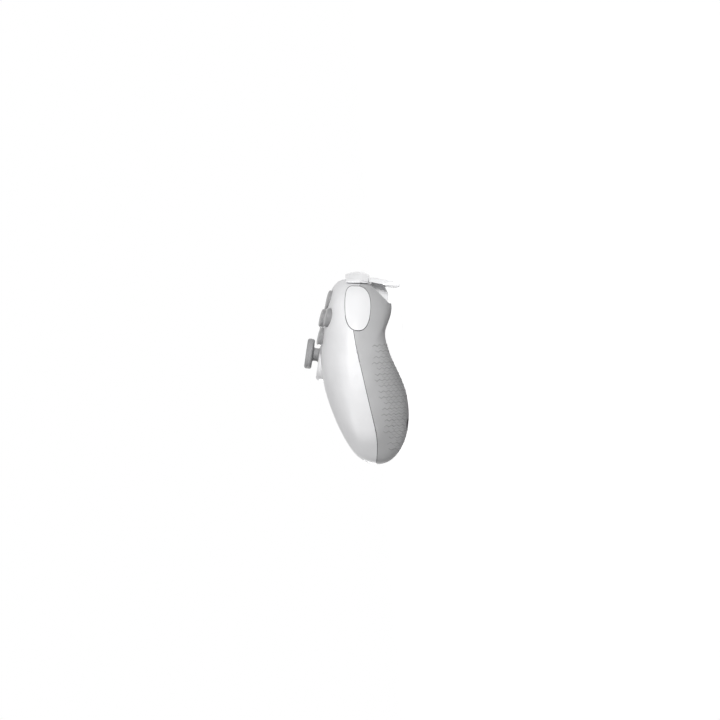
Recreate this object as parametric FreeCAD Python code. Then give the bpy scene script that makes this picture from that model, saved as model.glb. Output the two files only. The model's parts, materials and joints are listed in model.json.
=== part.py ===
import FreeCAD, Part
import math
import os

# Two-handed gamepad lying on its back: +X is the player's right, +Y points away from the
# player towards the bumpers, +Z comes out of the face. The origin is the middle of the
# object's box, on the plane that it rests on. All lengths are in millimetres.

V = FreeCAD.Vector
os.makedirs("parts", exist_ok=True)

# Driving dimensions of the casing
HALF_WIDTH = 76.0          # middle plane to the side of the grip, before the grips splay
SIDE_START = 48.0          # where the sections begin to shrink towards the side
SIDE_POWER = 2.4           # how full the side is, 2 is an ellipse
GRIP_SPLAY = 0.12          # sideways lean of the grips per millimetre towards the player
SPLAY_FROM_Y = 25.0
BLEND_FROM = 20.0          # the bridge section turns into the grip section between these
BLEND_TO = 50.0
SIDE_CENTRE = (-4.0, 26.5)  # Y, Z of the outermost point
WALL = 2.0
SHELL_GAP = 0.3            # groove between the two covers
FIT = 0.25                 # running clearance round a moving piece
PIN_FIT = 0.2              # clearance of a hinge hole round its pin
CLOSE = 0.05               # clearance of a press or glue fit

# Section outlines as Y, Z, from the front edge over the face and back under the rear
GRIP_OUTLINE = [
    (45.4, 22.5), (44.2, 33.0), (34.0, 38.0), (17.0, 41.8),
    (-2.0, 43.0), (-20.0, 39.6), (-36.5, 33.2), (-47.3, 24.0),
    (-48.2, 12.2), (-38.0, 3.0), (-20.0, 0.0), (-3.0, 4.2),
    (14.8, 10.0), (25.0, 6.6), (35.0, 5.9), (43.8, 13.6),
]
BRIDGE_OUTLINE = [
    (43.5, 22.5), (41.5, 32.6), (31.0, 37.2), (18.0, 40.9),
    (5.0, 43.2), (-2.5, 43.0), (-5.8, 38.5), (-6.5, 30.5),
    (-5.9, 22.5), (-2.5, 16.2), (4.0, 13.3), (12.0, 12.7),
    (20.0, 12.5), (28.0, 12.5), (36.0, 13.2), (41.6, 16.5),
]
SIDE_OVAL = (-1.0, 22.0, 46.5, 18.5, 3.5)   # centre Y, Z, half axes and tilt of the side form
PARTING = [
    (60.0, 20.0), (45.2, 20.0), (32.0, 24.0), (19.3, 25.5), (9.5, 24.5), (-8.7, 21.6),
    (-24.3, 19.0), (-37.3, 17.3), (-49.5, 18.4), (-62.0, 20.0),
]

# Side caps
CAP_OVAL = [
    (42.3, 24.3), (41.7, 26.7), (38.0, 28.4), (32.9, 29.0), (27.8, 29.1), (23.6, 28.4),
    (20.7, 26.5), (19.5, 23.6), (19.8, 20.8), (21.9, 18.6), (25.4, 17.1), (30.0, 16.2),
    (34.1, 16.0), (37.7, 16.7), (40.4, 18.3), (41.9, 21.0),
]
CAP_DEPTH = 1.3
CAP_PROUD = 0.35

# Sticks, in a frame at the pivot whose z axis comes out through the cap
STICK_X = 28.0
STICK_Y = 8.2
RIM_Z = 44.1               # height of the pod rim's middle
BOARD_TILT = 12.0          # the sticks and the boards lean this much towards the bumpers
PIVOT_DEPTH = 9.0          # pod rim plane down to the stick's pivot
POD_BASE_RADIUS = 13.2
POD_RIM_RADIUS = 12.2
POD_MOUTH_RADIUS = 11.2
POD_HOLE_RADIUS = 7.3
POD_HOLE_DEPTH = 1.5
DOME_RADIUS = 9.8
DOME_WALL = 1.0
DOME_HALF_ANGLE = 57.0
DOME_CLEARANCE = 0.45
NECK_RADIUS = 3.35
CAP_GAP = 3.5              # pod rim up to the underside of the thumb cap
CAP_RADIUS = 7.8
CAP_THICKNESS = 3.4
CAP_DISH = 0.6
SHAFT_RADIUS = 1.6
CLICK_TRAVEL = 0.5

# Stick module
HOUSING_HALF = 7.0
HOUSING_CORNER = 2.4
HOUSING_WALL = 0.8
HOUSING_FLOOR = -5.5
HOUSING_TOP = 1.4
ARM_RADIUS = 0.9
ARM_REACH = 8.2            # pivot to the end of a rocker's arm in its sensor
CARRIER_HALF_X = 3.7
CARRIER_HALF_Y = 4.6
CARRIER_HALF_Z = 1.5
CROSS_PIN_RADIUS = 0.6
YOKE_INNER = 4.8
YOKE_OUTER = 5.8
YOKE_HALF_WIDTH = 2.6
FOOT_DEPTH = 1.0           # pivot down to the middle of the shaft's ball foot
SEAT_RADIUS = 4.2
SEAT_Z = (-3.9, -2.85)
SENSOR_DEPTH = 2.4
SENSOR_HALF = 4.0

# Boards and frame, in the tilted frame whose zero is the pod rim plane
BOARD_THICKNESS = 1.2
BOARD_TOP = -14.5
BOARD_HALF_X = 56.0
BOARD_V = (-8.0, 28.0)
TONGUE_HALF_X = 11.0
TONGUE_V_MAX = 33.5
FRAME_THICKNESS = 1.5
FRAME_GAP = 0.5
FRAME_HALF_X = 57.0
FRAME_V_MAX = 30.0
HOME_WINDOW = (14.0, 10.0)   # half width and far edge of the hole round the home switch
STAND_WALL = 1.4           # wall of the tube under each button shelf
STAND_FLOOR = 1.2

# Face controls
CLUSTER_X = 50.0
CLUSTER_Y = 27.0
CLUSTER_TILT = 17.0
CLUSTER_LEAN = 7.6
BUTTON_SPREAD = 9.7
BUTTON_RADIUS = 4.7
BUTTON_PROUD = 1.5
BUTTON_FLANGE = 1.0
FLANGE_DEPTH = 3.0         # face surface down to the top of a button's flange
FLANGE_REACH = 0.9         # how far a flange stands out from its button
RUBBER_SHEET = 1.0
SHELF_DEPTH = 7.4          # face surface down to the shelf under the rubber
SHELF_RADIUS = 15.5
DPAD_REACH = 11.0
DPAD_HALF_WIDTH = 3.8
DPAD_GAP = 0.6
DPAD_PROUD = 1.6

# Touchpad and small buttons
TOUCHPAD_HALF_X = 26.0
TOUCHPAD_Y = (20.5, 41.6)
TOUCHPAD_TILT = 16.7
TOUCHPAD_THICKNESS = 1.6
TOUCHPAD_GAP = 0.3
MENU_HALF = (1.4, 3.4)
MENU_X = 32.5
MENU_Y = 34.5
HOME_Y = 4.0
SMALL_TRAVEL = 0.6

# Bumpers and triggers
BUMPER_NOSE = (49.35, 21.3)
BUMPER_SEAT = [(46.4, 28.0), (45.1, 20.0), (43.2, 15.9)]   # Y, Z of the covers behind the bumper
BUMPER_X_MIN = 33.5
BUMPER_GAP = 0.45          # between the bumper's back and the covers
DIVIDE_Z = (15.5, 16.3)    # height of the bumper's lower edge at its inner and outer end
DIVIDE_GAP = 0.35          # from there down to the trigger
TRIGGER_PIVOT = (36.5, 17.5)
TRIGGER_X = (34.0, 57.0)
TRIGGER_FRONT = 46.0
TRIGGER_CORNERS = (1.5, 5.0)   # fillets of the plate's inner and outer front corner
LUG_GAP = 0.7              # between the trigger's skirt and the ears that hold its pin
LUG_WIDTH = 1.6
SKIRT_X = (35.6, 49.5)
SKIRT_RADIUS = 10.9
SKIRT_WALL = 1.6
SKIRT_GAP = 0.4            # round the skirt in the rear cover
TRIGGER_PIN_RADIUS = 1.0
SPRING_X = (40.0, 45.0)
SPRING_RADIUS = 2.4
SPRING_WIRE = 0.4

# Motors and battery
MOTOR_CENTRE = (-15.0, 20.5)
MOTOR_X = (44.0, 55.0)
MOTOR_RADIUS = 8.5
WEIGHT_X = (56.4, 62.4)
WEIGHT_RADIUS = 9.0
MOTOR_SHAFT_RADIUS = 1.0
BATTERY_HALF_X = 22.0
BATTERY_V = (5.0, 24.5)
BATTERY_N = (-23.2, -17.5)

SCREW_PLACES = [(59.0, -30.0, 17.0), (62.0, 6.0, 20.0)]   # X, Y and the height where the posts meet
JACK_RADIUS = 1.78
JACK_LENGTH = 11.3
SMALL_DEPTH = 3.6
HOME_RADIUS = 4.2
LIGHT_HALF_X = 17.0
LIGHT_Z = (23.2, 29.4)
BUMPER_PIVOT = (35.8, 39.0)
BUMPER_PIN_RADIUS = 0.75
BARREL_Z = (21.8, 25.2)
BARREL_RADIUS = 2.0
BRACKET_TOP = 28.0
ARM_Z = (21.5, 24.5)       # the bumper's hinge arm and its stem
ARM_X = (34.6, 37.2)
STEM_X = (48.0, 52.0)
ARM_ROOM = 0.4             # clearance round the arm and the stem in the covers
SWITCH_X = (47.0, 53.0)
SWITCH_Y = (35.0, 38.1)
SWITCH_Z = (21.8, 24.8)
PLUNGER = 0.7              # how far a switch's plunger stands out
BUMPER_TRAVEL_GAP = 0.5    # from the stem to the switch's plunger
CRADLE_X = (46.0, 52.0)
CRADLE_WALL = 1.5
SCREW_GRIP = 8.0           # screw head's seat down from where the posts meet
SCREW_BITE = 8.0           # thread in the front cover's post
FRONT_POST_RADIUS = 3.2
REAR_POST_RADIUS = 4.2
GRILLE_SLOTS = 4
GRILLE_STEP = 2.1
GRILLE_Y = 13.5
GRILLE_HALF_X = 5.0
SCREW_HEAD_RADIUS = 2.6
SCREW_SHANK_RADIUS = 1.2


def save(name, shape):
    shape.exportStep("parts/%s.step" % name)
    print(name, len(shape.Solids), shape.isValid(), round(shape.Volume, 1))


def mirrored(shape):
    return shape.mirror(V(0, 0, 0), V(1, 0, 0))


def fused(shapes):
    return shapes[0].multiFuse(shapes[1:]).removeSplitter() if len(shapes) > 1 else shapes[0]


def box(x0, x1, y0, y1, z0, z1):
    return Part.makeBox(x1 - x0, y1 - y0, z1 - z0, V(x0, y0, z0))


def cylinder(radius, z0, z1, x=0.0, y=0.0):
    return Part.makeCylinder(radius, z1 - z0, V(x, y, z0))


def rod_x(radius, x0, x1, y=0.0, z=0.0):
    return Part.makeCylinder(radius, x1 - x0, V(x0, y, z), V(1, 0, 0))


def rod_y(radius, y0, y1, x=0.0, z=0.0):
    return Part.makeCylinder(radius, y1 - y0, V(x, y0, z), V(0, 1, 0))


def rounded_slab(half_x, half_y, radius, z0, z1):
    """Slab with round upright corners, centred on the z axis."""
    slab = box(-half_x, half_x, -half_y, half_y, z0, z1)
    upright = [e for e in slab.Edges if abs(e.tangentAt(e.FirstParameter).z) > 0.9]
    return slab.makeFillet(radius, upright)


# The casing's skin

def smooth(low, high, x):
    t = max(0.0, min(1.0, (x - low) / (high - low)))
    return t * t * (3 - 2 * t)


def oval_outline():
    """The side form's outline, one point for each point of the grip outline."""
    cy, cz, a, b, tilt = SIDE_OVAL
    turn = math.radians(tilt)
    points = []
    for y, z in GRIP_OUTLINE:
        u = ((y - cy) * math.cos(turn) + (z - cz) * math.sin(turn)) / a
        v = (-(y - cy) * math.sin(turn) + (z - cz) * math.cos(turn)) / b
        angle = math.atan2(v, u)
        u, v = a * math.cos(angle), b * math.sin(angle)
        points.append((cy + u * math.cos(turn) - v * math.sin(turn),
                       cz + u * math.sin(turn) + v * math.cos(turn)))
    return points


def drawn_in(outline, inset):
    """Outline moved inwards along its normals."""
    count = len(outline)
    points = []
    for i in range(count):
        (ya, za), (yb, zb) = outline[i - 1], outline[(i + 1) % count]
        length = math.hypot(yb - ya, zb - za)
        y, z = outline[i]
        points.append((y - (zb - za) / length * inset, z + (yb - ya) / length * inset))
    return points


def outline_parameters(outlines):
    """Shared curve parameters, so that every section has the same knots."""
    count = len(outlines[0])
    parameters = [0.0]
    for i in range(count):
        share = 0.0
        for outline in outlines:
            around = sum(math.dist(outline[j], outline[(j + 1) % count]) for j in range(count))
            share += math.dist(outline[i], outline[(i + 1) % count]) / around / len(outlines)
        parameters.append(parameters[-1] + share)
    return parameters


PARAMETERS = outline_parameters([GRIP_OUTLINE, BRIDGE_OUTLINE])


def skin_section(x, scale, outlines, inset):
    """One closed section of the casing at x, drawn towards the side centre by scale."""
    bridge, grip, side = outlines
    to_grip = smooth(BLEND_FROM, BLEND_TO, abs(x) - inset)
    to_side = smooth(SIDE_START, HALF_WIDTH, abs(x) + inset)
    cy, cz = SIDE_CENTRE
    sign = math.copysign(1.0, x)
    points = []
    for (by, bz), (gy, gz), (sy, sz) in zip(bridge, grip, side):
        y = by + (gy - by) * to_grip
        z = bz + (gz - bz) * to_grip
        y = cy + (y + (sy - y) * to_side - cy) * scale
        z = cz + (z + (sz - z) * to_side - cz) * scale
        points.append(V(x + sign * to_grip * GRIP_SPLAY * (SPLAY_FROM_Y - y), y, z))
    curve = Part.BSplineCurve()
    curve.interpolate(Points=points, PeriodicFlag=True, Parameters=PARAMETERS)
    return Part.Wire([curve.toShape()])


def half_skin(inset=0.0, nose=None):
    """Right half of the casing's solid form, drawn in by inset; nose pulls its front edge out."""
    bridge, grip = list(BRIDGE_OUTLINE), list(GRIP_OUTLINE)
    if nose:
        for outline in (bridge, grip):
            outline[0] = nose
            outline[1] = (nose[0] - 4.2, 33.0)
            outline[-1] = (nose[0] - 5.0, 12.5)
    outlines = [drawn_in(o, inset) for o in (bridge, grip, oval_outline())]
    reach = HALF_WIDTH - inset
    stations = [(x, 1.0) for x in (-9.0, 0.0, 9.0, 18.0, 27.0, 37.0, SIDE_START)]
    for degrees in (24, 44, 62, 78):
        along = math.sin(math.radians(degrees)) ** (2 / SIDE_POWER)
        scale = math.cos(math.radians(degrees)) ** (2 / SIDE_POWER)
        stations.append((SIDE_START + (reach - SIDE_START) * along, scale))
    sections = [skin_section(x, s, outlines, inset) for x, s in stations]
    tip_x = reach + GRIP_SPLAY * (SPLAY_FROM_Y - SIDE_CENTRE[0])
    tip = Part.Vertex(V(tip_x, SIDE_CENTRE[0], SIDE_CENTRE[1]))
    solid = Part.makeLoft([tip] + sections[::-1], True, False)
    return solid.common(box(0, 120, -100, 100, -50, 100))


def parting_side(above, shift=0.0):
    """Everything above, or below, the parting surface moved up by shift."""
    curve = Part.BSplineCurve()
    curve.interpolate([V(0, y, z + shift) for y, z in PARTING])
    far = 90.0 if above else -40.0
    first, last = curve.StartPoint, curve.EndPoint
    corners = [last, V(0, last.y, far), V(0, first.y, far), first]
    edges = [curve.toShape()]
    edges += [Part.makeLine(a, b) for a, b in zip(corners, corners[1:])]
    return Part.Face(Part.Wire(edges)).extrude(V(100, 0, 0))


def oval_prism(grow=0.0):
    """The side cap's outline as a prism along X."""
    outline = drawn_in(CAP_OVAL, grow)
    curve = Part.BSplineCurve()
    curve.interpolate(Points=[V(50, y, z) for y, z in outline], PeriodicFlag=True)
    return Part.Face(Part.Wire([curve.toShape()])).extrude(V(45, 0, 0))


# Local frames

def put(shape, placement):
    """Copy of the shape, moved by the placement on top of its own."""
    moved = shape.copy()
    moved.Placement = placement.multiply(shape.Placement)
    return moved


def tilted(shape, x=0.0):
    """From the board frame, zero at the pod rim plane, to the object's frame."""
    turn = FreeCAD.Rotation(V(1, 0, 0), -BOARD_TILT)
    return put(shape, FreeCAD.Placement(V(x, STICK_Y, RIM_Z), turn))


def at_stick(shape, side):
    """From the stick's frame at its pivot to the object's frame."""
    down = FreeCAD.Placement(V(0, 0, -PIVOT_DEPTH), FreeCAD.Rotation())
    return tilted(put(shape, down), STICK_X * side)


def skin_height(skin, x, y):
    """Height of the face above x, y."""
    probe = Part.makeLine(V(abs(x), y, 25), V(abs(x), y, 60))
    return skin.common(probe).BoundBox.ZMax


def cluster_placement(skin, side):
    lean = FreeCAD.Rotation(V(0, 1, 0), CLUSTER_LEAN * side)
    turn = lean.multiply(FreeCAD.Rotation(V(1, 0, 0), -CLUSTER_TILT))
    return FreeCAD.Placement(V(CLUSTER_X * side, CLUSTER_Y, skin_height(skin, CLUSTER_X, CLUSTER_Y)), turn)


def slope_placement(skin, x, y, tilt):
    return FreeCAD.Placement(V(x, y, skin_height(skin, x, y)), FreeCAD.Rotation(V(1, 0, 0), -tilt))


BUTTON_SPOTS = {
    "top": (0.0, BUTTON_SPREAD),
    "right": (BUTTON_SPREAD, 0.0),
    "bottom": (0.0, -BUTTON_SPREAD),
    "left": (-BUTTON_SPREAD, 0.0),
}


def cross_prism(reach, half_width, radius, z0, z1):
    """Plus-shaped prism with round tips, centred on the z axis."""
    arm_x = rounded_slab(reach, half_width, radius, z0, z1)
    arm_y = rounded_slab(half_width, reach, radius, z0, z1)
    return fused([arm_x, arm_y])


def profile_face(points, plane):
    """Face bounded by lines and arcs; an item is a corner, or a pair of arc middle and end."""
    ends = [p[1] if isinstance(p[0], tuple) else p for p in points]
    edges = []
    for i, item in enumerate(points):
        start, end = plane(*ends[i - 1]), plane(*ends[i])
        if isinstance(item[0], tuple):
            edges.append(Part.Arc(start, plane(*item[0]), end).toShape())
        else:
            edges.append(Part.makeLine(start, end))
    return Part.Face(Part.Wire(edges))


def turned(points):
    """Solid turned about z from a profile of radius, z items."""
    return profile_face(points, lambda r, z: V(r, 0, z)).revolve(V(0, 0, 0), V(0, 0, 1), 360)


def prism_x(points, x0, x1):
    """Prism along X of a profile of Y, Z items."""
    return profile_face(points, lambda y, z: V(x0, y, z)).extrude(V(x1 - x0, 0, 0))


def crown(half, edge_z, top_z):
    """Arc item from a rim at half, edge_z up or down to the axis, square to it."""
    rise = top_z - edge_z
    radius = (half ** 2 + rise ** 2) / (2 * abs(rise))
    turn = math.asin(half / radius) / 2
    middle = top_z - math.copysign(radius * (1 - math.cos(turn)), rise)
    return ((radius * math.sin(turn), middle), (0, top_z))


def polar(radius, degrees, centre=(0.0, 0.0)):
    turn = math.radians(degrees)
    return (centre[0] + radius * math.cos(turn), centre[1] + radius * math.sin(turn))


# Sticks

def pod():
    """Raised ring round the stick with its shallow bowl."""
    rim = PIVOT_DEPTH
    floor = rim - POD_HOLE_DEPTH
    ring = turned([
        (POD_BASE_RADIUS, rim - 6.4), (POD_BASE_RADIUS, rim - 3.0),
        ((POD_BASE_RADIUS - 0.2, rim - 1.2), (POD_RIM_RADIUS + 0.3, rim - 0.4)),
        ((POD_RIM_RADIUS, rim - 0.1), (POD_RIM_RADIUS - 0.3, rim)),
        ((POD_MOUTH_RADIUS + 0.2, rim - 0.1), (POD_MOUTH_RADIUS - 0.1, rim - 0.4)),
        ((POD_MOUTH_RADIUS - 1.9, floor + 0.35), (POD_HOLE_RADIUS, floor)),
        (POD_HOLE_RADIUS, rim - 6.4),
    ])
    return ring.cut(Part.makeSphere(DOME_RADIUS + DOME_CLEARANCE)).cut(
        cylinder(DOME_RADIUS + DOME_CLEARANCE + 0.1, rim - 8.0, rim - 5.0))


def thumb_cap():
    """Dished cap, neck and dome skirt in one moulding, pressed on the shaft."""
    under = PIVOT_DEPTH + CAP_GAP
    top = under + CAP_THICKNESS
    inner = DOME_RADIUS - DOME_WALL
    skirt = 90 - DOME_HALF_ANGLE
    meet = math.degrees(math.acos((NECK_RADIUS + 0.9) / DOME_RADIUS))
    boss = SHAFT_RADIUS + 1.4
    bore = SHAFT_RADIUS + CLOSE
    ceiling = math.sqrt(inner ** 2 - boss ** 2)
    roof = math.degrees(math.acos(boss / inner))
    return turned([
        (0, under + 1.0), (bore, under + 1.0), (bore, YOKE_OUTER + 1.3), (boss, YOKE_OUTER + 1.3),
        (boss, ceiling), (polar(inner, (roof + skirt) / 2), polar(inner, skirt)),
        polar(DOME_RADIUS, skirt),
        (polar(DOME_RADIUS, (meet + skirt) / 2), polar(DOME_RADIUS, meet)),
        ((NECK_RADIUS + 0.2, DOME_RADIUS - 0.4), (NECK_RADIUS, DOME_RADIUS + 0.6)),
        (NECK_RADIUS, under - 0.9),
        ((NECK_RADIUS + 0.25, under - 0.25), (NECK_RADIUS + 1.0, under)),
        (CAP_RADIUS - 1.1, under),
        ((CAP_RADIUS - 0.3, under + 0.3), (CAP_RADIUS, under + 1.1)),
        (CAP_RADIUS, top - 1.2),
        ((CAP_RADIUS - 0.35, top - 0.35), (CAP_RADIUS - 1.2, top)),
        crown(CAP_RADIUS - 1.2, top, top - CAP_DISH),
    ])


def stick_shaft():
    """Shaft with its ball foot and the cross pin that it tilts on."""
    top = PIVOT_DEPTH + CAP_GAP + 1.0
    post = cylinder(SHAFT_RADIUS, -FOOT_DEPTH, top)
    foot = Part.makeSphere(SHAFT_RADIUS, V(0, 0, -FOOT_DEPTH))
    return fused([post, foot, rod_x(CROSS_PIN_RADIUS, -CARRIER_HALF_X, CARRIER_HALF_X)])


def stick_carrier():
    """Lower rocker: carries the cross pin and turns the side-to-side sensor."""
    x, y, z = CARRIER_HALF_X, CARRIER_HALF_Y, CARRIER_HALF_Z
    frame = box(-x, x, -y, y, -z, z)
    slot = SHAFT_RADIUS + 0.3
    frame = frame.cut(box(-slot, slot, -y + 1.4, y - 1.4, -z - 1, z + 1))
    frame = frame.cut(rod_x(CROSS_PIN_RADIUS + 0.15, -x - 1, x + 1))
    return fused([frame, rod_y(ARM_RADIUS, y - 0.1, ARM_REACH), rod_y(ARM_RADIUS, 0.3 - ARM_REACH, 0.1 - y)])


def stick_yoke():
    """Upper rocker: an arch with a slot that the shaft slides along."""
    half = YOKE_HALF_WIDTH
    arch = rod_y(YOKE_OUTER, -half, half).cut(rod_y(YOKE_INNER, -half - 1, half + 1))
    arch = arch.common(box(-YOKE_OUTER - 1, YOKE_OUTER + 1, -half - 1, half + 1, -1.2, YOKE_OUTER + 1))
    slot = box(-3.6, 3.6, -SHAFT_RADIUS - FIT, SHAFT_RADIUS + FIT, 3, YOKE_OUTER + 1)
    arms = [rod_x(ARM_RADIUS, YOKE_INNER + 0.2, ARM_REACH),
            rod_x(ARM_RADIUS, 0.1 - HOUSING_HALF, -YOKE_INNER - 0.2)]
    return fused([arch.cut(slot)] + arms)


def octagon(half, corner, z0, z1):
    corners = []
    for sx, sy in ((1, 1), (-1, 1), (-1, -1), (1, -1)):
        pair = [(half * sx, (half - corner) * sy), ((half - corner) * sx, half * sy)]
        corners += pair if sx * sy > 0 else pair[::-1]
    face = Part.Face(Part.makePolygon([V(x, y, z0) for x, y in corners + corners[:1]]))
    return face.extrude(V(0, 0, z1 - z0))


def stick_housing():
    """Open tub with notches that the rockers' arms turn in."""
    tub = octagon(HOUSING_HALF, HOUSING_CORNER, HOUSING_FLOOR, HOUSING_TOP)
    tub = tub.cut(octagon(HOUSING_HALF - HOUSING_WALL, HOUSING_CORNER - 0.3,
                          HOUSING_FLOOR + HOUSING_WALL, HOUSING_TOP + 1))
    notch = ARM_RADIUS + FIT
    tub = tub.cut(box(-8, 8, -notch, notch, -notch, 3))
    return tub.cut(box(-notch, notch, -8, 8, -notch - CLICK_TRAVEL, 3))


def stick_seat():
    """Spring seat under the shaft's foot, pushed down when the stick is clicked."""
    return cylinder(SEAT_RADIUS, *SEAT_Z).cut(cylinder(SHAFT_RADIUS / 2, SEAT_Z[0] - 1, SEAT_Z[1] + 1))


def stick_sensors():
    """Two rotary sensors and the click switch round the housing."""
    near, far = HOUSING_HALF, HOUSING_HALF + SENSOR_DEPTH
    deep = ARM_REACH + 0.2
    half, notch = SENSOR_HALF, ARM_RADIUS + FIT
    along_x = box(near, far, -half, half, HOUSING_FLOOR, HOUSING_TOP).cut(rod_x(notch, near - 1, deep))
    along_y = box(-half, half, near, far, HOUSING_FLOOR, HOUSING_TOP)
    along_y = along_y.cut(box(-notch, notch, near - 1, deep, -notch - CLICK_TRAVEL, 3))
    switch = box(0.8 - half, half - 0.8, -far - 0.2, -near, HOUSING_FLOOR, -2.3)
    switch = fused([switch, cylinder(0.9, -2.6, -ARM_RADIUS - CLICK_TRAVEL - 0.35, 0, -ARM_REACH)])
    return Part.makeCompound([along_x, along_y, switch])


# Boards and frame

def board():
    """Main board with a tongue for the charging socket."""
    low = BOARD_TOP - BOARD_THICKNESS
    plate = box(-BOARD_HALF_X, BOARD_HALF_X, BOARD_V[0], BOARD_V[1], low, BOARD_TOP)
    tongue = box(-TONGUE_HALF_X, TONGUE_HALF_X, BOARD_V[1] - 1, TONGUE_V_MAX, low, BOARD_TOP)
    plate = fused([plate, tongue])
    for side in (-1, 1):
        plate = plate.cut(cylinder(1.6, low - 1, BOARD_TOP + 1, 42.0 * side, 2.0))
    return tilted(plate)


def chips():
    """Shielded radio, processor and memory on the rear side of the board."""
    low = BOARD_TOP - BOARD_THICKNESS
    shapes = [box(27, 41, 6, 18, low - 2.0, low), box(-38, -28, 8, 18, low - 1.2, low),
              box(-36, -29, -4, 2, low - 1.0, low), box(30, 36, -5, 1, low - 1.0, low)]
    return tilted(Part.makeCompound(shapes))


def charge_socket():
    """Oblong charging socket on the board's tongue."""
    low = BOARD_TOP - BOARD_THICKNESS
    outer = rounded_slab(4.5, 1.6, 1.55, 26.5, 34.2)
    hollow = rounded_slab(4.17, 1.28, 1.25, 28.5, 35.0)
    tongue = box(-3.35, 3.35, -0.35, 0.35, 28.4, 33.2)
    socket = fused([outer.cut(hollow), tongue])
    socket.rotate(V(0, 0, 0), V(1, 0, 0), -90)
    socket.translate(V(0, 0, low - 1.6))
    return tilted(socket)


def jack_axis_n():
    return BOARD_TOP - BOARD_THICKNESS - 2.7


def headset_jack():
    """Headset socket body under the board's near edge."""
    low = BOARD_TOP - BOARD_THICKNESS
    edge = BOARD_V[0]
    body = box(-3.1, 3.1, edge - 0.3, edge + JACK_LENGTH, low - 5.4, low)
    barrel = rod_y(2.9, edge - 1.6, edge, 0, jack_axis_n())
    bore = rod_y(JACK_RADIUS, edge - 2, edge + JACK_LENGTH - 1, 0, jack_axis_n())
    return tilted(fused([body, barrel]).cut(bore))


def battery():
    low, high = BATTERY_N
    cell = box(-BATTERY_HALF_X, BATTERY_HALF_X, BATTERY_V[0], BATTERY_V[1], low, high)
    long_edges = [e for e in cell.Edges if abs(e.tangentAt(e.FirstParameter).x) > 0.9]
    return tilted(cell.makeFillet(1.6, long_edges))


def battery_tray():
    """Tray clipped under the board round the cell."""
    low = BOARD_TOP - BOARD_THICKNESS
    x, (v0, v1) = BATTERY_HALF_X + FIT, BATTERY_V
    floor = BATTERY_N[1] + 0.2
    tray = box(-x - 1, x + 1, v0 - FIT - 1, v1 + FIT + 1, floor - 3.5, floor + 0.8)
    tray = tray.cut(box(-x, x, v0 - FIT, v1 + FIT, floor - 4, floor))
    pads = [box(px - 2, px + 2, pv - 2, pv + 2, floor + 0.5, low)
            for px in (-x + 2, x - 2) for pv in (v0 + 3, v1 - 2)]
    return tilted(fused([tray] + pads))


def motor(side):
    y, z = MOTOR_CENTRE
    can = rod_x(MOTOR_RADIUS, MOTOR_X[0], MOTOR_X[1], y, z)
    rims = [e for e in can.Edges if e.Closed]
    can = can.makeChamfer(0.6, rims)
    can = can.cut(rod_x(MOTOR_SHAFT_RADIUS + FIT, MOTOR_X[1] - 3.5, MOTOR_X[1] + 1, y, z))
    return can if side > 0 else mirrored(can)


def weight(side):
    """Half-round rumble weight with its hub and shaft."""
    y, z = MOTOR_CENTRE
    disc = rod_x(WEIGHT_RADIUS, WEIGHT_X[0], WEIGHT_X[1], y, z)
    disc = disc.common(box(50, 70, y - 20, y + 20, z - 20, z - 0.6))
    hub = rod_x(2.7, WEIGHT_X[0], WEIGHT_X[1], y, z)
    shaft = rod_x(MOTOR_SHAFT_RADIUS, MOTOR_X[1] - 3.0, WEIGHT_X[1] + 0.6, y, z)
    body = fused([disc, hub, shaft])
    return body if side > 0 else mirrored(body)


def frame_plate():
    """Tilted plate with windows for the stick modules and the home button's switch."""
    low = BOARD_TOP + FRAME_GAP
    high = low + FRAME_THICKNESS
    plate = box(-FRAME_HALF_X, FRAME_HALF_X, BOARD_V[0], FRAME_V_MAX, low, high)
    plate = plate.cut(box(-HOME_WINDOW[0], HOME_WINDOW[0], BOARD_V[0] - 4, HOME_WINDOW[1], low - 1, high + 1))
    window = HOUSING_HALF + SENSOR_DEPTH + 0.6
    for side in (-1, 1):
        x = STICK_X * side
        plate = plate.cut(box(x - window, x + window, BOARD_V[0] - 4, window, low - 1, high + 1))
        rib = box(x - window - 1, x + window + 1, window, window + FRAME_THICKNESS, low, high + 1.5)
        plate = plate.fuse(rib)
        ends = sorted((CRADLE_X[0] * side - side, CRADLE_X[1] * side + side))
        plate = plate.fuse(box(ends[0], ends[1], BOARD_V[0] - 12, BOARD_V[0] + 1, low, high))
    return tilted(plate)


def button_stand(skins, side):
    """Shelf under a rubber mat and the tube that holds it up from the plate."""
    place = cluster_placement(skins["outer"], side)
    top = -SHELF_DEPTH
    above = tilted(box(-80, 80, -30, FRAME_V_MAX + 1, BOARD_TOP + FRAME_GAP, 30))
    shelf = cylinder(SHELF_RADIUS, top - STAND_FLOOR, top)
    tube = cylinder(SHELF_RADIUS, top - 9, top - 1.0).cut(cylinder(SHELF_RADIUS - STAND_WALL, top - 10, top))
    pod_room = at_stick(cylinder(POD_BASE_RADIUS + FIT, -3.0, 12.0), side)
    return [put(shelf, place).cut(pod_room), put(tube, place).common(above).cut(pod_room)]


def motor_cradle():
    """Half of the frame's hold on a rumble motor, with the web up to the plate."""
    y, z = MOTOR_CENTRE
    x0, x1 = CRADLE_X
    ring = rod_x(MOTOR_RADIUS + CRADLE_WALL, x0, x1, y, z).cut(rod_x(MOTOR_RADIUS, x0 - 1, x1 + 1, y, z))
    return ring.fuse(box(x0, x1, y - 3, y + 3, z + MOTOR_RADIUS + 0.6, z + MOTOR_RADIUS + 7.0))


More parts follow.
